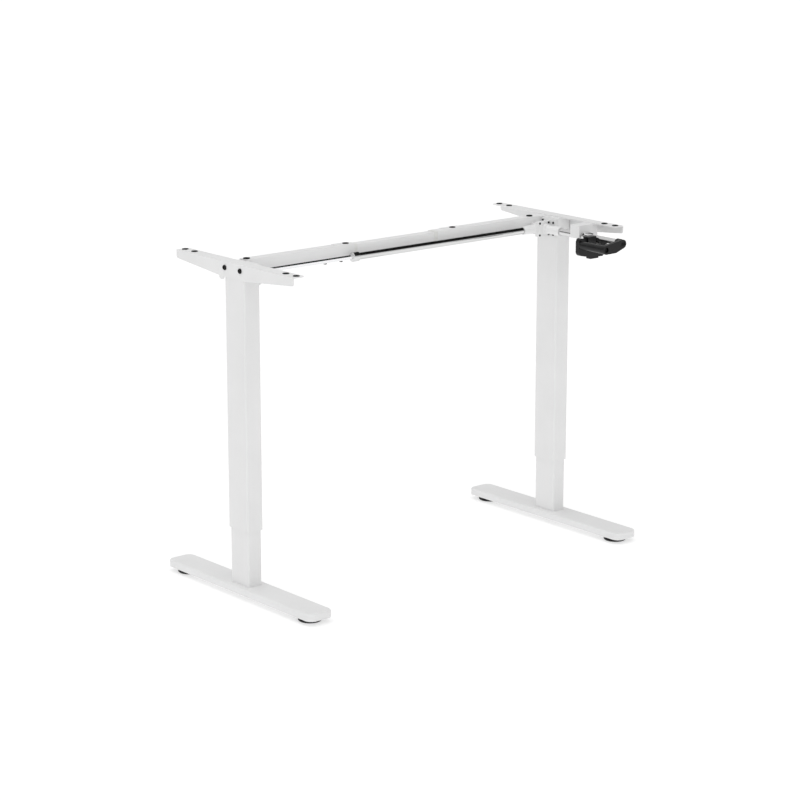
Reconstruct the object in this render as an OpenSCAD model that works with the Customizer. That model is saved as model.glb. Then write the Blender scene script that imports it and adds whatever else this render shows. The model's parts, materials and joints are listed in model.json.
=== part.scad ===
// Hand-cranked height adjustable desk frame, millimetres, +Z up.
// Origin: on the floor, midway between the two legs, on the centre plane of the columns.
// The crank side is -Y, the left leg is at -X. Drawn at its stored height, frame part raised.

/* [Frame] */
// Distance between the centres of the two legs
leg_span = 1040; // [980:10:1060]
// Underside of the table top: the top of the bracket pads
top_height = 850; // [846:1:850]
// Bottom edge of the outer (upper) column tubes
outer_bottom = 174; // [150:2:240]

/* [Feet] */
// Length of a foot, front to back
foot_len = 600; // [560:10:640]
// Width of a foot
foot_w = 75; // [70:1:80]
// Height of the foot shell
foot_t = 18; // [16:1:20]
// How far the foot centre lies in front of the column
foot_shift = 5; // [0:1:12]
// Levelling foot position, from the foot centre
leveller_y = 252; // [220:2:256]
// Radius of a levelling disc
leveller_r = 30; // [24:1:31]

/* [Columns] */
// Outer tube, across the desk
outer_x = 48; // [48:0.5:49]
// Outer tube, front to back
outer_y = 79.5; // [79.5:0.5:81]
// Inner tube, across the desk
inner_x = 41.5; // [40.5:0.5:41.5]
// Inner tube, front to back
inner_y = 73.5; // [72:0.5:73.5]
// Wall of both tubes
tube_wall = 1.8; // [1.6:0.1:1.8]

/* [Top brackets and beam] */
// Half length of a side bracket
bracket_half = 238; // [236:1:250]
// Outer pad position, front to back
pad_outer_y = 226; // [220:1:230]
// Inner pad position, front to back
pad_inner_y = 186; // [180:1:196]
// Seam of the right beam section
right_seam_x = 124; // [110:2:140]
// Seam of the left beam section
left_seam_x = -155; // [-165:1:-150]

/* [Drive] */
// Height of the shaft and crank axes
axis_z = 818; // [817:0.5:819]
// Crank axis, across the desk
crank_x = 475; // [475:0.5:476]
// Pitch radius of every bevel gear, all run one to one
pitch_r = 10; // [10:0.1:10.2]
// Number of teeth on every bevel gear
teeth = 16; // [16:2:18]
// Thread pitch of the lead screws
screw_pitch = 6; // [5:0.5:8]
// Throw of the crank arm
crank_throw = 60; // [58:0.5:62]

/* [Hidden] */
$fn = 64;
leg_x = leg_span / 2;
disc_h = 9;
foot_gap = 12;
foot_top = foot_gap + foot_t;
shell = 2.5;
foot_r = 20;
foot_edge = 2;
// Bite of one solid into the next where both are the same piece
eps = 0.02;
// Radial play of a shaft in its bore
fit = 0.05;
glide_gap = 0.3;
tube_r = 5;
bore_x = outer_x - 2 * tube_wall;
bore_y = outer_y - 2 * tube_wall;
bore_r = tube_r - tube_wall;
outer_top = 840;
inner_top = 636;
base_plate = 6;
collar_low = 600;
collar_top = 640;
flange_z = top_height - 1.5;
sheet = 2.5;
flange_in = leg_x - 9;
web_in = leg_x + outer_x / 2;
web_out = web_in + sheet;
pad_x = leg_x + 8;
pad_r = 8.3;
pad_neck = 4;
pad_bore = 2.6;
plate_x = leg_x - outer_x / 2;
plate_t = 3;
beam_end = plate_x - plate_t;
beam_y = 31;
beam_d = 30;
beam_low = 813;
beam_top = top_height - 2.5;
beam_wall = 1.8;
mid_gap = 0.2;
land_h = 1;
journal_r = 4.5;
hex_r = 5.8;
shaft_r = 9.3;
sleeve_r = 12;
rod_r = 9.5;
rod_journal = 5.5;
face_w = 4;
hub_r = 8;
hub_l = 7.5;
screw_r = 7;
screw_low = 300;
screw_shoulder = 774;
carrier_z = 783;
carrier_h = 12;
bearing_r = 13;
nut_low = 606;
nut_top = 634;
nut_tube_r = 13;
tube_end_y = -300.5;
arm_t = 9.5;
crank_tube_r = 9.5;
crank_tube_bore = 8.2;
grip_back = -217;
bolt_y = [-28, 34.5];
bolt_z = 833;
bolt_r = 3;
hanger_front = -160;
hanger_depth = 34;
hanger_t = 2;
plate_low = 795.5;
plate_high = 841.5;
plate_screws = [[-31, 802], [-31, 834], [9, 800], [9, 837]];
plate_screw_r = 1.9;
sleeve_bore = 8;
hex_start = 27;
box_x = 451;
box_half = 20;
body_half = 14.5;
lug_l = 10;
box_back = 14.8;
cavity_x = 457;
cavity_half = 12.2;
cover_y = -13;
cover_t = 3;
cover_screw_x = [455, 486.5];
cover_screw_z = [axis_z - 16, axis_z + 16];
cover_screw_r = 1.5;
crank_sleeve_y = -77;
stud_r = 4;
foot_bolt_x = 12;
foot_bolt_y = 26;
foot_bolt_r = 3;
bar_r = 7;
bar_end_y = -292;
socket_y = -196;
tube_start_y = -197;
bush_l = 15;
tube_x = -166;
coupler_x = -177;
coupler_l = 20;
coupler_r = 12.4;
coupler_head_r = 3.8;
coupler_tilt = 40;
coupler_screws = [[-171, hex_r + 0.2], [-162, shaft_r + 0.2]];
joint_l = 16;
pin_r = 2.55;
holder_screw_x = crank_x + 20;
holder_screw_z = 820;

// ---------- small shapes ----------

// Rectangle with round corners, centred
module round_rect(w, l, r) {
    square([w - 2 * r, l], center = true);
    square([w, l - 2 * r], center = true);
    for (sx = [-1, 1], sy = [-1, 1])
        translate([sx * (w / 2 - r), sy * (l / 2 - r)])
            circle(r);
}

// A bar between two x positions
module along_x(x0, x1, r, y = 0, z = axis_z) {
    translate([x0, y, z])
        rotate([0, 90, 0])
            cylinder(h = x1 - x0, r = r);
}

// A bar between two y positions, on the crank axis unless told otherwise
module along_y(y0, y1, r, x = crank_x, z = axis_z) {
    translate([x, y1, z])
        rotate([90, 0, 0])
            cylinder(h = y1 - y0, r = r);
}

// A block given by its low and high corners
module block(low, high) {
    translate(low)
        cube(high - low);
}

// Straight round rod turned about Z with chamfered ends
module turned(z0, z1, r, c = 1) {
    rotate_extrude()
        polygon([[0, z0], [r - c, z0], [r, z0 + c], [r, z1 - c], [r - c, z1], [0, z1]]);
}

// Flat outline of a bevel gear at its large end
module gear_outline() {
    root = pitch_r - 1.4;
    tip = pitch_r + 1.1;
    circle(root, $fn = 48);
    for (i = [0 : teeth - 1])
        rotate(i * 360 / teeth)
            polygon([[root - 0.5, -1.15], [tip, -0.45], [tip, 0.45], [root - 0.5, 1.15]]);
}

// Bevel gear whose cone apex is the origin, its hub towards -Z
module bevel_gear(bore, turn = 0) {
    difference() {
        union() {
            translate([0, 0, -pitch_r])
                rotate(turn)
                    linear_extrude(height = face_w, scale = (pitch_r - face_w) / pitch_r)
                        gear_outline();
            translate([0, 0, -pitch_r - hub_l])
                cylinder(h = hub_l + eps, r = hub_r);
        }
        translate([0, 0, -pitch_r - hub_l - 1])
            cylinder(h = hub_l + pitch_r, r = bore);
    }
}

// Pan head screw pointing along -Z, head on the plane z = 0
module pan_screw(head_r, head_h, shank_r, shank_l) {
    rotate_extrude()
        polygon([
            [0, -shank_l], [shank_r, -shank_l], [shank_r, 0], [head_r, 0],
            [head_r, head_h * 0.55], [head_r * 0.8, head_h], [head_r * 0.45, head_h],
            [head_r * 0.4, head_h * 0.5], [0, head_h * 0.5]
        ]);
}

// ---------- feet and lower columns ----------

// Pressed steel foot, open underneath, with ribs and threaded bosses
module foot(s) {
    rib_x = 24;
    rib_t = 3;
    rib_l = 450;
    color("white")
    translate([s * leg_x, -foot_shift, 0])
    difference() {
        union() {
            difference() {
                hull() {
                    translate([0, 0, foot_gap])
                        linear_extrude(foot_t - foot_edge)
                            round_rect(foot_w, foot_len, foot_r);
                    translate([0, 0, foot_gap])
                        linear_extrude(foot_t)
                            round_rect(foot_w - 2 * foot_edge, foot_len - 2 * foot_edge, foot_r - foot_edge);
                }
                translate([0, 0, foot_gap - 1])
                    linear_extrude(foot_t - shell + 1)
                        round_rect(foot_w - 2 * shell, foot_len - 2 * shell, foot_r - shell);
            }
            for (sx = [-1, 1])
                translate([sx * rib_x - rib_t / 2, -rib_l / 2, foot_gap + 2])
                    cube([rib_t, rib_l, foot_t - shell - 2 + eps]);
            for (sy = [-1, 1])
                translate([0, sy * leveller_y, foot_gap + 4])
                    cylinder(h = foot_t - shell - 4 + eps, r = 9);
        }
        for (sy = [-1, 1])
            translate([0, sy * leveller_y, foot_gap])
                cylinder(h = foot_t - shell, r = stud_r + 0.1);
        for (sx = [-1, 1], sy = [-1, 1])
            translate([sx * foot_bolt_x, foot_shift + sy * foot_bolt_y, foot_gap + 1])
                cylinder(h = foot_t, r = foot_bolt_r + 0.1);
    }
}

// Hexagon screws that hold a column to its foot from below
module foot_screws(s) {
    color("black")
    for (sx = [-1, 1], sy = [-1, 1])
        translate([s * leg_x + sx * foot_bolt_x, sy * foot_bolt_y, foot_top - shell]) {
            translate([0, 0, -4])
                cylinder(h = 4, r = 5.5, $fn = 6);
            translate([0, 0, -eps])
                cylinder(h = shell + base_plate - 1, r = foot_bolt_r);
        }
}

// Levelling foot: ribbed disc, hexagon collar and stud
module leveller(s, f) {
    color("black")
    translate([s * leg_x, f * leveller_y - foot_shift, 0]) {
        rotate_extrude()
            polygon([
                [0, 0], [leveller_r - 2, 0], [leveller_r, 2], [leveller_r, 5],
                [leveller_r - 3, 7.5], [12, disc_h], [0, disc_h]
            ]);
        translate([0, 0, disc_h - eps])
            cylinder(h = foot_gap - disc_h - 0.4, r = 7.5, $fn = 6);
        translate([0, 0, disc_h - eps])
            cylinder(h = foot_top - shell - disc_h - 1, r = stud_r);
    }
}

// Lower, narrower column tube with its welded base plate
module inner_column(s) {
    color("white")
    translate([s * leg_x, 0, 0])
    difference() {
        union() {
            translate([0, 0, foot_top])
                linear_extrude(inner_top - foot_top)
                    difference() {
                        round_rect(inner_x, inner_y, tube_r);
                        round_rect(inner_x - 2 * tube_wall, inner_y - 2 * tube_wall, bore_r);
                    }
            translate([0, 0, foot_top])
                linear_extrude(base_plate)
                    round_rect(inner_x - tube_wall, inner_y - tube_wall, tube_r - tube_wall / 2);
        }
        for (sx = [-1, 1], sy = [-1, 1])
            translate([sx * foot_bolt_x, sy * foot_bolt_y, foot_top - 1])
                cylinder(h = base_plate + 2, r = foot_bolt_r + fit);
    }
}

// Plastic slide collar pushed over the top of the inner column
module glide(s) {
    color("gainsboro")
    translate([s * leg_x, 0, 0])
    difference() {
        translate([0, 0, collar_low])
            linear_extrude(collar_top - collar_low)
                round_rect(bore_x - 2 * glide_gap, bore_y - 2 * glide_gap, bore_r);
        translate([0, 0, collar_low - 1])
            linear_extrude(inner_top - collar_low + 1)
                round_rect(inner_x, inner_y, tube_r);
        translate([0, 0, collar_low - 1])
            linear_extrude(collar_top)
                round_rect(inner_x - 8, inner_y - 8, bore_r);
    }
}

// Steel tube that stands on the base plate and carries the nut
module nut_tube(s) {
    color("silver")
    translate([s * leg_x, 0, 0])
    rotate_extrude()
        polygon([
            [nut_tube_r - 2, foot_top + base_plate], [nut_tube_r + 4, foot_top + base_plate],
            [nut_tube_r + 4, foot_top + base_plate + 4], [nut_tube_r, foot_top + base_plate + 4],
            [nut_tube_r, nut_low], [nut_tube_r - 2, nut_low]
        ]);
}

// Moulded drive nut seated on the nut tube
module drive_nut(s) {
    color("khaki")
    translate([s * leg_x, 0, 0])
    rotate_extrude()
        polygon([
            [screw_r + 0.1, nut_low - 12], [nut_tube_r - 2 - fit, nut_low - 12],
            [nut_tube_r - 2 - fit, nut_low], [nut_tube_r + 2, nut_low],
            [nut_tube_r + 2, nut_low + 8], [nut_tube_r - 1, nut_low + 8],
            [nut_tube_r - 1, nut_top], [screw_r + 0.1, nut_top]
        ]);
}

// ---------- upper columns ----------

// Upper, wider column tube, its cap welded on, drilled for shaft and bolts
module outer_column(s) {
    color("white")
    difference() {
        translate([s * leg_x, 0, 0])
            union() {
                translate([0, 0, outer_bottom])
                    linear_extrude(outer_top - outer_bottom)
                        difference() {
                            round_rect(outer_x, outer_y, tube_r);
                            round_rect(bore_x, bore_y, bore_r);
                        }
                translate([0, 0, outer_top])
                    linear_extrude(flange_z - sheet - outer_top)
                        round_rect(outer_x, outer_y, tube_r);
            }
        translate([s * plate_x, 0, axis_z])
            rotate([0, 90, 0])
                cylinder(h = 4 * tube_wall, r = sleeve_bore + 0.1, center = true);
        for (y = bolt_y)
            translate([s * web_in, y, bolt_z])
                rotate([0, 90, 0])
                    cylinder(h = 4 * tube_wall, r = bolt_r + fit, center = true);
    }
}

// Plastic guide liner inside the bottom of an outer column
module column_liner(s) {
    color("gainsboro")
    translate([s * leg_x, 0, outer_bottom])
        linear_extrude(40)
            difference() {
                round_rect(bore_x, bore_y, bore_r);
                round_rect(inner_x + 2 * glide_gap, inner_y + 2 * glide_gap, bore_r);
            }
}

// Side plate on the inboard face of a column head; the beam ends against it
module head_plate(s) {
    color("white")
    difference() {
        block([s > 0 ? plate_x - plate_t : -plate_x, -39, plate_low - 1],
              [s > 0 ? plate_x : plate_t - plate_x, 48, plate_high + 1.5]);
        along_x(-leg_x, leg_x, sleeve_bore + 0.1);
        plate_screw_holes(s);
    }
}

// Carrier plate inside a column head, with its bearing seat
module bearing_carrier(s) {
    color("silver")
    translate([s * leg_x, 0, 0])
    difference() {
        translate([0, 0, carrier_z])
            linear_extrude(carrier_h)
                round_rect(bore_x - 0.2, bore_y - 0.2, bore_r - 0.1);
        translate([0, 0, carrier_z - 1])
            cylinder(h = carrier_h + 2, r = 9.5);
        translate([0, 0, carrier_z + 1.5])
            cylinder(h = carrier_h, r = bearing_r);
    }
}

// Ball bearing that hangs the lead screw, drawn as a closed ring with a race groove
module screw_bearing(s) {
    color("silver")
    translate([s * leg_x, 0, carrier_z + 1.5])
    rotate_extrude()
        polygon([
            [5.05, 0], [8.4, 0], [8.4, 0.8], [10.4, 0.8], [10.4, 0], [bearing_r - fit, 0],
            [bearing_r - fit, 10], [10.4, 10], [10.4, 9.2], [8.4, 9.2], [8.4, 10], [5.05, 10]
        ]);
}

// ---------- side brackets, pads and bolts ----------

// Outline of the bracket web, front to back and up
module web_outline() {
    end_low = 827;
    mid_low = 810;
    tab_low = 802;
    corner = 6;
    polygon([
        [-bracket_half, flange_z], [-bracket_half, end_low + corner],
        [-bracket_half + corner, end_low], [-55, mid_low], [40, mid_low],
        [40, tab_low + corner], [46, tab_low], [52, tab_low], [58, tab_low + corner],
        [58, mid_low + 0.6], [bracket_half - corner, end_low],
        [bracket_half, end_low + corner], [bracket_half, flange_z]
    ]);
    for (sy = [-1, 1])
        translate([sy * (bracket_half - corner), end_low + corner])
            circle(corner);
    for (y = [46, 52])
        translate([y, tab_low + corner])
            circle(corner);
}

// Angle bracket that carries the table top, its web outside the column
module side_bracket(s) {
    color("white")
    mirror([s > 0 ? 0 : 1, 0, 0])
    difference() {
        union() {
            translate([web_in, 0, 0])
                rotate([90, 0, 90])
                    linear_extrude(sheet)
                        web_outline();
            translate([(flange_in + web_out) / 2, 0, flange_z - sheet])
                linear_extrude(sheet)
                    union() {
                        round_rect(web_out - flange_in, 2 * bracket_half, 7);
                        translate([(web_out - flange_in) / 4, 0])
                            square([(web_out - flange_in) / 2, 2 * bracket_half], center = true);
                    }
        }
        for (y = [pad_outer_y, pad_inner_y, -pad_inner_y, -pad_outer_y])
            translate([pad_x, y, flange_z - 2 * sheet])
                cylinder(h = 3 * sheet, r = pad_neck + fit);
        for (y = bolt_y)
            translate([web_in - 1, y, bolt_z])
                rotate([0, 90, 0])
                    cylinder(h = 2 * sheet, r = bolt_r + fit);
    }
}

// Button head bolts through the bracket webs into the columns
module bracket_bolts() {
    color("black")
    for (s = [-1, 1], y = bolt_y)
        translate([s * web_out, y, bolt_z])
            rotate([0, s * 90, 0])
                pan_screw(6.5, 3.6, bolt_r, 16);
}

// One rubber grommet pad, its neck through a hole in the sheet below
module pad(x, y, seat, top, sheet_t) {
    translate([x, y, 0])
    difference() {
        rotate_extrude()
            polygon([
                [0, seat - sheet_t], [pad_neck, seat - sheet_t], [pad_neck, seat],
                [pad_r, seat], [pad_r, top - 0.5], [pad_r - 0.7, top], [0, top]
            ]);
        translate([0, 0, seat - sheet_t - 1])
            cylinder(h = top - seat + sheet_t + 2, r = pad_bore);
    }
}

module bracket_pads() {
    color("black")
    for (s = [-1, 1], y = [pad_outer_y, pad_inner_y, -pad_inner_y, -pad_outer_y])
        pad(s * pad_x, y, flange_z, top_height, sheet);
}

// ---------- crossbeam ----------

mid_pad_x = [-172, 186];
end_pad_x = [-483, 460];
clamp_x = [-238, -187, 145, 196];
clamp_r = 3;
clamp_head_r = 5;
weld_nut_h = 4.5;

// One outer beam section: a box tube, a raised land near its open end, weld nuts below
module beam_section(x0, x1, land0, land1, pads, clamps) {
    color("white")
    difference() {
        union() {
            block([x0, beam_y - beam_d / 2, beam_low], [x1, beam_y + beam_d / 2, beam_top]);
            block([land0, beam_y - beam_d / 2, beam_top - eps],
                  [land1, beam_y + beam_d / 2, beam_top + land_h]);
            for (x = clamps)
                translate([x, beam_y, beam_low - weld_nut_h])
                    cylinder(h = weld_nut_h + eps, r = 6, $fn = 6);
        }
        block([x0 - 1, beam_y - beam_d / 2 + beam_wall, beam_low + beam_wall],
              [x1 + 1, beam_y + beam_d / 2 - beam_wall, beam_top - beam_wall]);
        for (x = pads)
            translate([x, beam_y, beam_top - 2 * beam_wall])
                cylinder(h = 20, r = pad_neck + fit);
        for (x = clamps)
            translate([x, beam_y, beam_low - weld_nut_h - 1])
                cylinder(h = weld_nut_h + beam_wall + 2, r = clamp_r + fit);
    }
}

module left_beam()
    beam_section(-beam_end, left_seam_x, left_seam_x - 52, left_seam_x,
                 [mid_pad_x[0], end_pad_x[0]], [clamp_x[0], clamp_x[1]]);

module right_beam()
    beam_section(right_seam_x, beam_end, right_seam_x + 30, right_seam_x + 90,
                 [mid_pad_x[1], end_pad_x[1]], [clamp_x[2], clamp_x[3]]);

// Narrower middle section that slides in both outer ones
module middle_beam() {
    inset = beam_wall + mid_gap;
    half = beam_d / 2 - inset;
    left = -330;
    right = 270;
    color("white")
    difference() {
        block([left, beam_y - half, beam_low + inset], [right, beam_y + half, beam_top - inset]);
        block([left - 1, beam_y - half + beam_wall, beam_low + inset + beam_wall],
              [right + 1, beam_y + half - beam_wall, beam_top - inset - beam_wall]);
        for (x = mid_pad_x)
            translate([x, beam_y, beam_top - 8])
                cylinder(h = 8, r = pad_neck + 0.4);
    }
}

// Plastic end rings that keep the middle section centred
module beam_liners() {
    half = beam_d / 2;
    inset = beam_wall + mid_gap - 0.1;
    color("whitesmoke")
    for (x = [left_seam_x, right_seam_x - 10])
        difference() {
            block([x, beam_y - half + 0.6, beam_low + 0.6], [x + 10, beam_y + half - 0.6, beam_top - 0.6]);
            block([x - 1, beam_y - half + inset, beam_low + inset],
                  [x + 11, beam_y + half - inset, beam_top - inset]);
        }
}

// Clamp screws in the weld nuts; their tips press on the middle section
module beam_clamp_screws() {
    head = beam_low - weld_nut_h;
    tip = beam_low + beam_wall + mid_gap;
    color("black")
    for (x = clamp_x)
        translate([x, beam_y, head])
            rotate([180, 0, 0])
                pan_screw(clamp_head_r, 5.5, clamp_r, tip - head);
}

module beam_pads() {
    color("black") {
        for (x = mid_pad_x)
            pad(x, beam_y, beam_top + land_h, top_height, beam_wall + land_h);
        for (x = end_pad_x)
            pad(x, beam_y, beam_top, top_height, beam_wall);
    }
}

// ---------- gearboxes ----------

// Cone or bar about the cross shaft axis, between two x positions
module cone_x(x0, x1, r0, r1) {
    translate([x0, 0, axis_z])
        rotate([0, 90, 0])
            cylinder(h = x1 - x0, r1 = r0, r2 = r1);
}

// Holes of the four screws that hold a gearbox flange to its head plate
module plate_screw_holes(s) {
    for (p = plate_screws)
        translate([s * beam_end, p[0], p[1]])
            rotate([0, 90, 0])
                cylinder(h = 4 * plate_t, r = plate_screw_r + fit, center = true);
}

// Die-cast gearbox body on the right column, with the sleeve of the cross shaft
module crank_gearbox() {
    ring_x = crank_x - 28.5;
    boss_x = crank_x - 25.5;
    color("white")
    difference() {
        union() {
            block([box_x, cover_y, axis_z - body_half], [beam_end, box_back, axis_z + body_half]);
            block([box_x, cover_y, axis_z - box_half], [beam_end, cover_y + lug_l, axis_z + box_half]);
            block([beam_end - plate_t, -37, plate_low], [beam_end, box_back, plate_high]);
            cone_x(crank_x - 68, ring_x + 0.5, 10.6, 12.4);
            along_x(ring_x, boss_x + 0.5, 13.6);
            along_x(boss_x, box_x + eps, 14.4);
        }
        block([cavity_x, cover_y - 1, axis_z - cavity_half],
              [beam_end + 1, box_back - 2.5, axis_z + cavity_half]);
        along_x(crank_x - 70, crank_x, sleeve_bore);
        plate_screw_holes(1);
        for (x = cover_screw_x, z = cover_screw_z)
            along_y(cover_y - 1, cover_y + lug_l - 1, cover_screw_r + fit, x, z);
    }
}

// Square cover on the gearbox front, cast in one with the sleeve of the crank rod
module gearbox_cover() {
    front = cover_y - cover_t;
    color("white")
    difference() {
        union() {
            block([box_x + 0.2, front, axis_z - box_half],
                  [beam_end - plate_t - 0.2, cover_y, axis_z + box_half]);
            along_y(crank_sleeve_y, front + eps, 11.5);
            along_y(crank_sleeve_y, crank_sleeve_y + 4, 12.3);
            along_y(front - 11, front + eps, 13.6);
        }
        along_y(crank_sleeve_y - 1, cover_y + 1, sleeve_bore);
        along_y(-20, cover_y + 1, hub_r + 0.6);
        for (x = cover_screw_x, z = cover_screw_z)
            along_y(front - 1, cover_y + 1, cover_screw_r + fit, x, z);
    }
}

// Flanged shaft sleeve on the left column
module left_shaft_sleeve() {
    sleeve_l = 26;
    color("white")
    difference() {
        union() {
            block([-beam_end, -38, plate_low], [-beam_end + plate_t, box_back, plate_high]);
            along_x(-beam_end, sleeve_l - beam_end, sleeve_r);
            along_x(sleeve_l - 5 - beam_end, sleeve_l - beam_end, sleeve_r + 1.5);
        }
        along_x(-beam_end - 1, sleeve_l + 1 - beam_end, sleeve_bore);
        plate_screw_holes(-1);
    }
}

// Bushes for the cross shaft and the crank rod
module bush_x(x0, l) {
    difference() {
        along_x(x0, x0 + l, sleeve_bore - fit);
        along_x(x0 - 1, x0 + l + 1, journal_r + fit);
    }
}

module shaft_bushes() {
    color("khaki") {
        bush_x(-plate_x - 3, 12);
        bush_x(-beam_end + 15, 10);
        bush_x(beam_end + 0.2, 5.8);
        bush_x(crank_x - 66, 14);
        difference() {
            along_y(crank_sleeve_y + 1, crank_sleeve_y + 21, sleeve_bore - fit);
            along_y(crank_sleeve_y, crank_sleeve_y + 22, rod_journal + fit);
        }
    }
}

// Screws of the gearbox, its cover, the left sleeve and the handle holder
module housing_screws() {
    color("black") {
        for (s = [-1, 1], p = plate_screws)
            translate([s * (beam_end - plate_t), p[0], p[1]])
                rotate([0, -s * 90, 0])
                    pan_screw(3.1, 2.2, plate_screw_r, 6);
        for (x = cover_screw_x, z = cover_screw_z)
            translate([x, cover_y - cover_t, z])
                rotate([90, 0, 0])
                    pan_screw(2.8, 1.8, cover_screw_r, 9);
        translate([holder_screw_x, hanger_front + hanger_t, holder_screw_z])
            rotate([-90, 0, 0])
                pan_screw(3.9, 2.4, 2, 12);
    }
}

// ---------- gear train ----------

// Lead screw hung from the column head, thread drawn as plain grooves
module lead_screw(s) {
    n = floor((screw_shoulder - 8 - screw_low) / screw_pitch);
    groove = [for (i = [0 : n - 1]) each [
        [screw_r - 1.1, screw_low + i * screw_pitch + 1],
        [screw_r - 1.1, screw_low + i * screw_pitch + 2.6],
        [screw_r, screw_low + i * screw_pitch + 3.4],
        [screw_r, screw_low + i * screw_pitch + screw_pitch]
    ]];
    color("silver")
    translate([s * leg_x, 0, 0])
    rotate_extrude()
        polygon(concat(
            [[0, screw_low], [screw_r - 1.1, screw_low]], groove,
            [
                [screw_r, screw_shoulder], [9, screw_shoulder], [9, carrier_z],
                [7, carrier_z + 1], [5, carrier_z + 1], [5, axis_z - 7], [0, axis_z - 7]
            ]
        ));
}

module screw_bevel(s) {
    color("dimgray")
    translate([s * leg_x, 0, axis_z])
        bevel_gear(5 + fit / 2);
}

// Bevel gears on the cross shaft: one at each column and one for the crank
module shaft_bevels() {
    half_tooth = 180 / teeth;
    color("dimgray") {
        translate([-leg_x, 0, axis_z])
            rotate([0, -90, 0])
                bevel_gear(journal_r + fit / 2, half_tooth);
        translate([leg_x, 0, axis_z])
            rotate([0, 90, 0])
                bevel_gear(journal_r + fit / 2, half_tooth);
        translate([crank_x, 0, axis_z])
            rotate([0, -90, 0])
                bevel_gear(journal_r + fit / 2, half_tooth);
    }
}

// Hexagon bar from the left gear to inside the drive tube
module hex_rod() {
    color("dimgray") {
        translate([hex_start - beam_end, 0, axis_z])
            rotate([0, 90, 0])
                cylinder(h = beam_end - hex_start - 100, r = hex_r, $fn = 6);
        along_x(6 - leg_x, hex_start - beam_end + eps, journal_r);
    }
}

// Chrome drive tube and the turned stub in its right end
module drive_tube() {
    color("silver")
    difference() {
        along_x(tube_x, crank_x - 70, shaft_r);
        along_x(tube_x - 1, crank_x - 69, shaft_r - 1.6);
    }
}

module drive_stub() {
    color("silver") {
        along_x(crank_x - 110, crank_x - 72, shaft_r - 1.6 - fit);
        along_x(crank_x - 72 - eps, leg_x - 6, journal_r);
    }
}

// Round clamp coupler that locks the hexagon bar in the tube
module shaft_coupler() {
    color("silver")
    difference() {
        translate([coupler_x, 0, axis_z])
            rotate([0, 90, 0])
                turned(0, coupler_l, coupler_r, 1.5);
        translate([coupler_x - 1, 0, axis_z])
            rotate([0, 90, 0])
                cylinder(h = tube_x - coupler_x + 2, r = hex_r + 0.1, $fn = 6);
        along_x(tube_x, coupler_x + coupler_l + 1, shaft_r + fit);
        for (c = coupler_screws)
            translate([c[0], 0, axis_z])
                rotate([coupler_tilt, 0, 0]) {
                    translate([0, 0, c[1] - 0.5])
                        cylinder(h = 20, r = 2 + fit);
                    translate([0, 0, coupler_r - 3])
                        cylinder(h = 10, r = coupler_head_r + 0.1);
                }
    }
}

module coupler_screws() {
    color("black")
    for (c = coupler_screws)
        translate([c[0], 0, axis_z])
            rotate([coupler_tilt, 0, 0])
                difference() {
                    union() {
                        translate([0, 0, c[1]])
                            cylinder(h = coupler_r - c[1], r = 2);
                        translate([0, 0, coupler_r - 2.9])
                            cylinder(h = 4, r = coupler_head_r);
                    }
                    translate([0, 0, coupler_r - 1])
                        cylinder(h = 4, r = 1.8, $fn = 6);
                }
}

// Bevel gear of the crank, on the same axis as the crank rod
module crank_bevel() {
    color("dimgray")
    translate([crank_x, 0, axis_z])
        rotate([-90, 0, 0])
            bevel_gear(rod_journal + fit);
}

// ---------- crank ----------

joint_y = -174;

// Rod from the gearbox to the universal joint
module crank_rod() {
    color("silver") {
        along_y(crank_sleeve_y - 2, -7, rod_journal);
        along_y(joint_y + joint_l, crank_sleeve_y - 1.5, rod_r);
    }
}

// Fork of the universal joint; turn sets the plane of its ears
module fork(turn) {
    translate([crank_x, joint_y, axis_z])
    rotate([90, turn, 0])
    difference() {
        union() {
            translate([0, 0, -joint_l])
                cylinder(h = 7, r = rod_r);
            intersection() {
                for (sx = [-1, 1])
                    translate([sx * 8 - 2.4, -4.6, -10])
                        cube([4.8, 9.2, 14]);
                translate([0, 0, -10])
                    cylinder(h = 14, r = rod_r);
            }
        }
        rotate([0, 90, 0])
            cylinder(h = 30, r = pin_r + fit, center = true);
    }
}

module joint_fork_rear() {
    color("silver")
    fork(0);
}

// The cross pins and centre block of the universal joint
module joint_cross() {
    color("dimgray")
    translate([crank_x, joint_y, axis_z]) {
        cube(8.6, center = true);
        rotate([0, 90, 0])
            cylinder(h = 18.4, r = pin_r, center = true);
        cylinder(h = 18.4, r = pin_r, center = true);
    }
}

// Front fork, its socket open towards the crank tube
module joint_fork_front() {
    color("silver")
    difference() {
        union() {
            translate([0, 2 * joint_y, 0])
                mirror([0, 1, 0])
                    fork(90);
            along_y(socket_y, joint_y - joint_l + eps, rod_r);
        }
        along_y(socket_y - 1, socket_y + 10, 6 + fit);
    }
}

// Six-sided bar that turns in the fork's socket and guides the crank tube
module guide_bar() {
    color("silver") {
        translate([crank_x, socket_y - 0.5, axis_z])
            rotate([90, 0, 0])
                cylinder(h = socket_y - 0.5 - bar_end_y, r = bar_r, $fn = 6);
        along_y(socket_y - 0.5 - eps, socket_y + 9, 6);
    }
}

// Chrome tube that pulls out over the guide bar
module crank_tube() {
    color("silver")
    difference() {
        along_y(tube_end_y, tube_start_y, crank_tube_r);
        along_y(tube_end_y - 1, tube_start_y - bush_l, crank_tube_bore);
        translate([crank_x, tube_start_y + 1, axis_z])
            rotate([90, 0, 0])
                cylinder(h = bush_l + 2, r = bar_r + 0.1, $fn = 6);
    }
}

// Where the grip meets the arm, seen from the front
grip_x = crank_x - crank_throw * cos(9);
grip_z = axis_z - crank_throw * sin(9);

// Crank arm, seen from the front: round ends joined by a belly that hangs a little
module arm_outline() {
    big = 11.4;
    small = 11.8;
    belly = 13;
    hull() {
        translate([crank_x, axis_z])
            circle(big);
        translate([grip_x, grip_z])
            circle(small);
        translate([(crank_x + grip_x) / 2 + 3, (axis_z + grip_z) / 2 - 3])
            circle(belly);
    }
}

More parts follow.
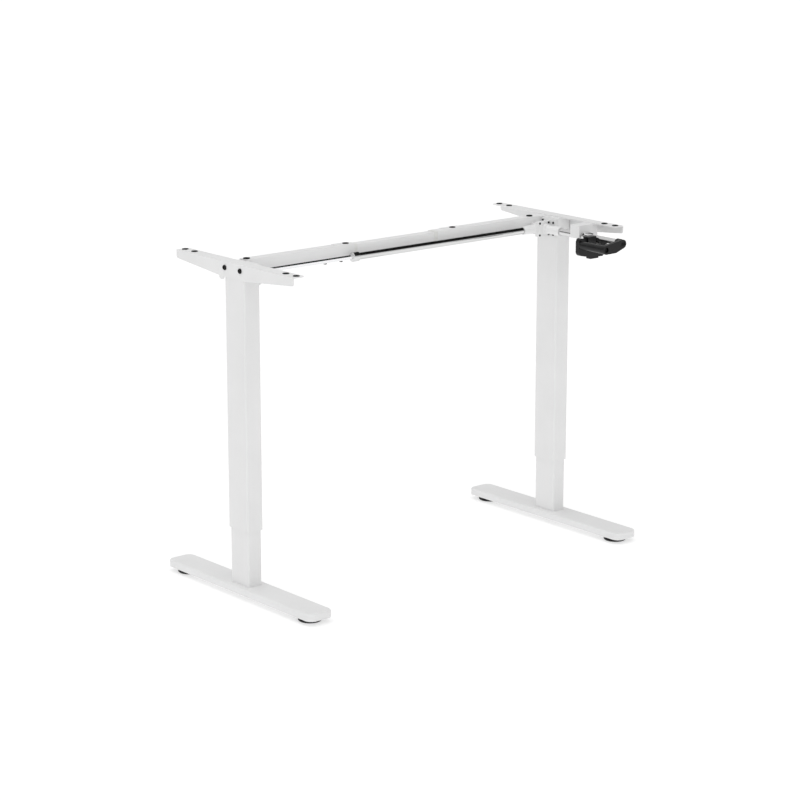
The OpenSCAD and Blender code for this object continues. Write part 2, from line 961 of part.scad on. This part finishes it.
module crank_arm() {
    color("black")
    difference() {
        union() {
            translate([0, tube_end_y, 0])
                rotate([90, 0, 0])
                    linear_extrude(arm_t)
                        arm_outline();
            along_y(tube_end_y - eps, tube_end_y + 12, 11.8);
        }
        along_y(tube_end_y, tube_end_y + 13, crank_tube_r + fit);
        along_y(tube_end_y - arm_t - 1, tube_end_y + 1, 4.1, grip_x, grip_z);
        along_y(tube_end_y - arm_t - 1, tube_end_y - 3, 7.2, grip_x, grip_z);
        translate([crank_x - 2, tube_end_y - arm_t + 1.6, axis_z])
            rotate([90, 0, 0])
                linear_extrude(3)
                    rotate(12) {
                        square([10, 10], center = true);
                        for (sx = [-1, 1])
                            translate([sx * 5, 0])
                                circle(5);
                    }
        along_y(tube_end_y - arm_t, tube_end_y + 1, 2.1);
    }
}

// Screw through the arm into the plug of the crank tube
module arm_screw() {
    color("black") {
        translate([crank_x, tube_end_y - arm_t + 1.6, axis_z])
            rotate([90, 0, 0])
                pan_screw(3.8, 1.2, 2, arm_t);
    }
}

// Shoulder screw that the grip turns on
module grip_axle() {
    color("black") {
        along_y(tube_end_y - 5.5, tube_end_y - 3, 6.2, grip_x, grip_z);
        along_y(tube_end_y - 3 - eps, -226, 4, grip_x, grip_z);
    }
}

// Round grip, folded back towards the desk
module grip() {
    front = tube_end_y + 0.5;
    color("black")
    translate([grip_x, 0, grip_z])
    rotate([90, 0, 0])
    rotate_extrude()
        polygon([
            [0, -grip_back], [9, -grip_back], [10.2, -grip_back + 1.5], [11, -grip_back + 30],
            [11, -front - 2], [10.1, -front], [4.1, -front], [4.1, 225], [0, 225]
        ]);
}

// ---------- hanger and handle holder ----------

// Folded sheet hanger, spot welded under the right bracket; the crank rod passes through its notch
module crank_hanger() {
    left = crank_x - 13;
    right = left + 66;
    top = flange_z - sheet;
    low = 814;
    back = hanger_front + hanger_depth;
    front_in = hanger_front + hanger_t;
    notch = rod_r + 0.6;
    color("white")
    difference() {
        union() {
            block([left, hanger_front, top - hanger_t], [right, back, top]);
            block([left, hanger_front, low], [right, front_in, top]);
            block([left, hanger_front, low - 2], [left + hanger_t, back, top]);
            block([right - hanger_t, hanger_front, low + 6], [right, back, top]);
        }
        along_y(hanger_front - 1, front_in + 1, notch);
        block([crank_x - notch, hanger_front - 1, low - 3], [crank_x + notch, front_in + 1, axis_z]);
        along_y(hanger_front - 1, front_in + 1, 2 + fit, holder_screw_x, holder_screw_z);
    }
}

// Outline of the holder plate, seen from the front
module holder_outline() {
    left = crank_x - 67;
    right = crank_x + 25;
    polygon([
        [left, 789], [left + 2, 784], [left + 7, 780], [left + 30, 775], [left + 58, 771.5],
        [right - 6, 771], [right, 776], [right, 804], [crank_x - 12, 804], [crank_x - 12, 822],
        [left + 26, 822], [left + 8, 826], [left + 3, 824], [left, 818]
    ]);
}

// Moulded holder: cradle plate for the grip end, saddle for the tube, stem to the hanger
module handle_holder() {
    plate_back = -203;
    saddle_front = -221;
    saddle_back = -202;
    cradle = crank_tube_r + 0.3;
    color("black")
    difference() {
        union() {
            translate([0, plate_back, 0])
                rotate([90, 0, 0])
                    linear_extrude(13)
                        holder_outline();
            block([crank_x - 39, saddle_front, 796], [crank_x - 10, saddle_back, 828]);
            block([crank_x - 30, saddle_front, 788], [crank_x + 25, saddle_back, 806]);
            block([crank_x + 14, plate_back - 13, 794], [crank_x + 26, hanger_front, 809]);
            block([crank_x + 14, hanger_front - 12, 794], [crank_x + 26, hanger_front, 824]);
            block([crank_x - 24, plate_back - 12, 767.5], [crank_x + 5, plate_back + 4, 776]);
        }
        along_y(saddle_front - 1, saddle_back + 1, cradle);
        block([crank_x - cradle, saddle_front - 1, axis_z], [crank_x + 12, saddle_back + 1, 830]);
        along_y(hanger_front - 12, hanger_front + 1, 2 + fit, holder_screw_x, holder_screw_z);
    }
}

// ---------- sub-parts ----------

// Sub-part to draw, or all of them

foot(-1);  // left_foot
foot_screws(-1);  // left_foot_screws
inner_column(-1);  // left_inner_column
glide(-1);  // left_slide_collar
nut_tube(-1);  // left_nut_tube
drive_nut(-1);  // left_drive_nut
leveller(-1, -1);  // left_front_leveller
leveller(-1, 1);  // left_rear_leveller
foot(1);  // right_foot
foot_screws(1);  // right_foot_screws
inner_column(1);  // right_inner_column
glide(1);  // right_slide_collar
nut_tube(1);  // right_nut_tube
drive_nut(1);  // right_drive_nut
leveller(1, -1);  // right_front_leveller
leveller(1, 1);  // right_rear_leveller
outer_column(-1);  // left_outer_column
outer_column(1);  // right_outer_column
for (s = [-1, 1]) column_liner(s);  // column_liners
for (s = [-1, 1]) head_plate(s);  // head_plates
side_bracket(-1);  // left_side_bracket
side_bracket(1);  // right_side_bracket
bracket_bolts();
bracket_pads();
left_beam();
middle_beam();
right_beam();
beam_liners();
beam_clamp_screws();
beam_pads();
for (s = [-1, 1]) bearing_carrier(s);  // bearing_carriers
for (s = [-1, 1]) screw_bearing(s);  // screw_bearings
left_shaft_sleeve();
crank_gearbox();
gearbox_cover();
shaft_bushes();
housing_screws();
crank_hanger();
handle_holder();
lead_screw(-1);  // left_lead_screw
screw_bevel(-1);  // left_screw_bevel
lead_screw(1);  // right_lead_screw
screw_bevel(1);  // right_screw_bevel
shaft_bevels();
hex_rod();
drive_tube();
drive_stub();
shaft_coupler();
coupler_screws();
crank_bevel();
crank_rod();
joint_fork_rear();
joint_cross();
joint_fork_front();
guide_bar();
crank_tube();
crank_arm();
arm_screw();
grip_axle();
grip();
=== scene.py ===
"""Looks of the hand-cranked desk frame: materials, light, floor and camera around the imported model."""

import json
import math

import bpy
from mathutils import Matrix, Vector

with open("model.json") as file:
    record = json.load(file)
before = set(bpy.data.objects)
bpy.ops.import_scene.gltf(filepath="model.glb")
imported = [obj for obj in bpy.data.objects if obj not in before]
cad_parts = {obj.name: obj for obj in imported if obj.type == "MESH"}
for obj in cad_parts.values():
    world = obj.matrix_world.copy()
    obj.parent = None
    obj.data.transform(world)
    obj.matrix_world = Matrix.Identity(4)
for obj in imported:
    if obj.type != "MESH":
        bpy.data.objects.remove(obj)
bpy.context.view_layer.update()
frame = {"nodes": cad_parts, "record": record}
MM = 0.001
WHITE = (1.0, 1.0, 1.0, 1.0)

# ---------------------------------------------------------------- materials

# Nearly all of a noise pattern lies between these two values
NOISE_LOW = 0.3
NOISE_HIGH = 0.7


class Paint:
    """One node material, built step by step."""

    def __init__(self, name, color, rough, metal=0.0, **sockets):
        self.mat = bpy.data.materials.new(name)
        self.mat.use_nodes = True
        self.nodes = self.mat.node_tree.nodes
        self.links = self.mat.node_tree.links
        self.shader = self.nodes["Principled BSDF"]
        self.shader.inputs["Base Color"].default_value = (*color, 1.0)
        self.shader.inputs["Roughness"].default_value = rough
        self.shader.inputs["Metallic"].default_value = metal
        for socket, value in sockets.items():
            self.shader.inputs[socket.replace("_", " ")].default_value = value
        self.coords = self.nodes.new("ShaderNodeTexCoord")
        self.last_normal = None

    def noise(self, scale, detail=4.0, stretch=(1.0, 1.0, 1.0)):
        """A noise pattern in the object's own metres; stretch scales each axis."""
        place = self.nodes.new("ShaderNodeMapping")
        place.inputs["Scale"].default_value = stretch
        self.links.new(self.coords.outputs["Object"], place.inputs["Vector"])
        tex = self.nodes.new("ShaderNodeTexNoise")
        tex.inputs["Scale"].default_value = scale
        tex.inputs["Detail"].default_value = detail
        self.links.new(place.outputs["Vector"], tex.inputs["Vector"])
        return tex.outputs["Fac"]

    def vary(self, socket, pattern, low, high):
        """The shader's socket runs between two numbers with the pattern."""
        span = self.nodes.new("ShaderNodeMapRange")
        span.inputs["From Min"].default_value = NOISE_LOW
        span.inputs["From Max"].default_value = NOISE_HIGH
        span.inputs["To Min"].default_value = low
        span.inputs["To Max"].default_value = high
        self.links.new(pattern, span.inputs["Value"])
        self.links.new(span.outputs["Result"], self.shader.inputs[socket])
        return self

    def tint(self, pattern, dark, light):
        """The base colour runs between two colours with the pattern."""
        ramp = self.nodes.new("ShaderNodeValToRGB")
        ramp.color_ramp.elements[0].position = NOISE_LOW
        ramp.color_ramp.elements[1].position = NOISE_HIGH
        ramp.color_ramp.elements[0].color = (*dark, 1.0)
        ramp.color_ramp.elements[1].color = (*light, 1.0)
        self.links.new(pattern, ramp.inputs["Fac"])
        self.links.new(ramp.outputs["Color"], self.shader.inputs["Base Color"])
        return self

    def bump(self, pattern, depth, strength=0.4):
        """Fine relief, depth in metres."""
        node = self.nodes.new("ShaderNodeBump")
        node.inputs["Strength"].default_value = strength
        node.inputs["Distance"].default_value = depth
        self.links.new(pattern, node.inputs["Height"])
        if self.last_normal is not None:
            self.links.new(self.last_normal, node.inputs["Normal"])
        self.last_normal = node.outputs["Normal"]
        self.links.new(self.last_normal, self.shader.inputs["Normal"])
        return self


def grey(v):
    """A neutral colour."""
    return (v, v, v)


def powder_coat():
    p = Paint("white_powder_coat", grey(0.80), 0.42)
    p.tint(p.noise(9, 3), grey(0.785), grey(0.815))
    p.vary("Roughness", p.noise(60), 0.36, 0.48)
    return p.bump(p.noise(900, 3), 0.00012, 0.22).mat


def chrome():
    p = Paint("polished_chrome", grey(0.7), 0.08, 1.0)
    p.vary("Roughness", p.noise(40, 5), 0.05, 0.11)
    return p.bump(p.noise(260, 3), 0.00003, 0.15).mat


def zinc_steel():
    p = Paint("zinc_steel", grey(0.50), 0.32, 1.0)
    p.tint(p.noise(45, 6), (0.42, 0.42, 0.43), (0.56, 0.56, 0.57))
    p.vary("Roughness", p.noise(120, 6), 0.24, 0.42)
    return p.bump(p.noise(1500, 3), 0.00005, 0.3).mat


def dark_steel():
    p = Paint("oiled_dark_steel", grey(0.1), 0.3, 1.0)
    p.tint(p.noise(50, 6), (0.07, 0.07, 0.075), (0.13, 0.13, 0.135))
    p.vary("Roughness", p.noise(90, 6), 0.28, 0.46)
    return p.bump(p.noise(1200, 3), 0.00005, 0.3).mat


def bright_bar():
    p = Paint("bright_drawn_steel", grey(0.86), 0.14, 1.0)
    p.tint(p.noise(50, 6, (0.05, 1.0, 1.0)), (0.83, 0.83, 0.84), (0.89, 0.89, 0.9))
    p.vary("Roughness", p.noise(90, 6, (0.05, 1.0, 1.0)), 0.1, 0.18)
    return p.bump(p.noise(1200, 3, (0.05, 1.0, 1.0)), 0.00002, 0.2).mat


def black_screw():
    p = Paint("black_zinc_screw", grey(0.006), 0.4, 0.0, Specular_IOR_Level=0.15)
    p.tint(p.noise(300, 4), grey(0.003), grey(0.008))
    p.vary("Roughness", p.noise(400, 4), 0.28, 0.45)
    return p.bump(p.noise(1800, 3), 0.00004, 0.3).mat


def black_plastic():
    p = Paint("black_grained_plastic", grey(0.006), 0.32, 0.0, Specular_IOR_Level=0.26)
    p.tint(p.noise(30, 4), (0.004, 0.004, 0.0045), (0.008, 0.008, 0.0085))
    p.vary("Roughness", p.noise(200, 4), 0.26, 0.38)
    return p.bump(p.noise(1400, 5), 0.0001, 0.35).mat


def black_rubber():
    p = Paint("black_rubber", grey(0.006), 0.7, 0.0, Specular_IOR_Level=0.15)
    p.tint(p.noise(80, 4), grey(0.003), grey(0.008))
    p.vary("Roughness", p.noise(250, 4), 0.6, 0.8)
    return p.bump(p.noise(1700, 4), 0.0001, 0.4).mat


def white_plastic():
    p = Paint("natural_nylon", (0.74, 0.74, 0.72), 0.45)
    p.tint(p.noise(40, 4), (0.71, 0.71, 0.69), (0.78, 0.78, 0.76))
    p.vary("Roughness", p.noise(150, 4), 0.38, 0.52)
    return p.bump(p.noise(900, 3), 0.00006, 0.25).mat


FINISHES = {
    "white_paint": powder_coat(),
    "chrome": chrome(),
    "plain_steel": zinc_steel(),
    "dark_steel": dark_steel(),
    "black_screws": black_screw(),
    "black_plastic": black_plastic(),
    "black_rubber": black_rubber(),
    "white_plastic": white_plastic(),
}
SLOT_OF = {s["node"]: s["material_slot"] for s in frame["record"]["subparts"]}
# Nodes that look brighter or darker than the rest of their slot
OWN_FINISH = {"hex_rod": bright_bar()}

# ---------------------------------------------------------------- carried-over pieces

# Edge rounding of each finish, in millimetres
EDGE = {
    "white_paint": 0.7,
    "chrome": 0.5,
    "plain_steel": 0.3,
    "dark_steel": 0.25,
    "black_screws": 0.3,
    "black_plastic": 1.0,
    "black_rubber": 0.4,
    "white_plastic": 0.4,
}
# Only edges sharper than this many degrees are rounded
SHARP = 40

# Each node gets its finish and softly rounded edges
for name, obj in frame["nodes"].items():
    finish = SLOT_OF[name]
    obj.data.materials.clear()
    obj.data.materials.append(OWN_FINISH.get(name, FINISHES[finish]))
    bevel = obj.modifiers.new("edges", "BEVEL")
    bevel.width = EDGE[finish] * MM
    bevel.segments = 2
    bevel.limit_method = "ANGLE"
    bevel.angle_limit = math.radians(SHARP)
    bevel.harden_normals = False

# ---------------------------------------------------------------- floor and light

# Wide enough to fill the picture from the main camera, a hair below the levelling feet
FLOOR_SIZE = 60.0
FLOOR_Z = -0.5 * MM
# Light from the floor itself, from the open sky, and from the dark cards in it
FLOOR_GLOW = 0.58
SKY = 0.76
DARK_CARD = 0.01
# A point near the middle of the desk, which the lamps face
CENTRE = (0.0, 0.0, 0.5)


def plane(name, size, z, material):
    """A square sheet on its own mesh."""
    half = size / 2
    mesh = bpy.data.meshes.new(name)
    corners = [(-half, -half, z), (half, -half, z), (half, half, z), (-half, half, z)]
    mesh.from_pydata(corners, [], [(0, 1, 2, 3)])
    mesh.materials.append(material)
    obj = bpy.data.objects.new(name, mesh)
    bpy.context.collection.objects.link(obj)
    return obj


def floor_paint():
    """Pale seamless studio floor, lit a little from within so that it stays white to its edges."""
    p = Paint("studio_floor", grey(0.5), 0.9)
    p.tint(p.noise(1.5, 2), grey(0.49), grey(0.51))
    p.shader.inputs["Specular IOR Level"].default_value = 0.1
    p.shader.inputs["Emission Color"].default_value = WHITE
    p.shader.inputs["Emission Strength"].default_value = FLOOR_GLOW
    return p.mat


floor = plane("studio_floor", FLOOR_SIZE, FLOOR_Z, floor_paint())


def area_light(name, place, aim, size, watts):
    """A rectangular lamp at a place, turned to face the aim."""
    data = bpy.data.lights.new(name, "AREA")
    data.shape = "RECTANGLE"
    data.size, data.size_y = size
    data.energy = watts
    obj = bpy.data.objects.new(name, data)
    obj.location = place
    obj.rotation_euler = (Vector(aim) - Vector(place)).to_track_quat("-Z", "Y").to_euler()
    bpy.context.collection.objects.link(obj)


# Place, aim and size in metres, power in watts
area_light("key", (-1.2, -3.8, 3.2), CENTRE, (2.6, 2.6), 11)
area_light("fill", (-3.8, 0.4, 1.8), CENTRE, (2.4, 2.4), 3)

# A wide soft light from straight above
ceiling = bpy.data.lights.new("ceiling", "SUN")
ceiling.energy = 0.84
ceiling.angle = math.radians(70)
bpy.context.collection.objects.link(bpy.data.objects.new("ceiling", ceiling))


def studio_world():
    """White room with two dark cards, on the right and at the back left, for a streak in polished metal."""
    world = bpy.data.worlds.new("studio")
    world.use_nodes = True
    nodes = world.node_tree.nodes
    links = world.node_tree.links
    split = nodes.new("ShaderNodeSeparateXYZ")
    links.new(nodes.new("ShaderNodeTexCoord").outputs["Generated"], split.inputs["Vector"])

    def ease(axis, start, end, low, high):
        """Runs softly from low to high between two points of an axis of the view direction."""
        span = nodes.new("ShaderNodeMapRange")
        span.interpolation_type = "SMOOTHSTEP"
        span.inputs["From Min"].default_value = start
        span.inputs["From Max"].default_value = end
        span.inputs["To Min"].default_value = low
        span.inputs["To Max"].default_value = high
        links.new(split.outputs[axis], span.inputs["Value"])
        return span.outputs["Result"]

    def times(a, b):
        """The product of two values."""
        node = nodes.new("ShaderNodeMath")
        node.operation = "MULTIPLY"
        links.new(a, node.inputs[0])
        links.new(b, node.inputs[1])
        return node.outputs["Value"]

    def band(axis, low, high, soft):
        """One inside a stretch of an axis, zero outside, with soft ends."""
        return times(
            ease(axis, low - soft, low + soft, 0.0, 1.0), ease(axis, high - soft, high + soft, 1.0, 0.0)
        )

    # Each card is one where it is darkest, zero elsewhere
    right_card = times(band("X", 0.48, 0.78, 0.04), band("Y", -0.7, 0.67, 0.05))
    left_card = times(band("X", -0.74, -0.45, 0.04), band("Z", 0.1, 0.36, 0.05))
    left_card = times(left_card, ease("Y", 0.4, 0.6, 0.0, 1.0))
    cards = nodes.new("ShaderNodeMath")
    cards.operation = "ADD"
    links.new(right_card, cards.inputs[0])
    links.new(left_card, cards.inputs[1])
    mix = nodes.new("ShaderNodeMapRange")
    mix.inputs["To Min"].default_value = SKY
    mix.inputs["To Max"].default_value = DARK_CARD
    links.new(cards.outputs["Value"], mix.inputs["Value"])
    background = nodes["Background"]
    background.inputs["Color"].default_value = WHITE
    links.new(mix.outputs["Result"], background.inputs["Strength"])
    return world


bpy.context.scene.world = studio_world()
bpy.context.scene.view_settings.view_transform = "Standard"

# ---------------------------------------------------------------- camera

# Place in metres, yaw from +Y towards +X and pitch in degrees, lens and sensor in millimetres
CAMERA_PLACE = (-4.1454, -4.9184, 2.0218)
CAMERA_YAW = 40.0
CAMERA_PITCH = -13.99
CAMERA_LENS = 114.8
CAMERA_SENSOR = 36.0

cam_data = bpy.data.cameras.new("photo_view")
cam_data.sensor_width = CAMERA_SENSOR
cam_data.lens = CAMERA_LENS
camera = bpy.data.objects.new("photo_view", cam_data)
camera.location = CAMERA_PLACE
camera.rotation_euler = (math.radians(90 + CAMERA_PITCH), 0.0, math.radians(-CAMERA_YAW))
bpy.context.collection.objects.link(camera)
bpy.context.scene.camera = camera
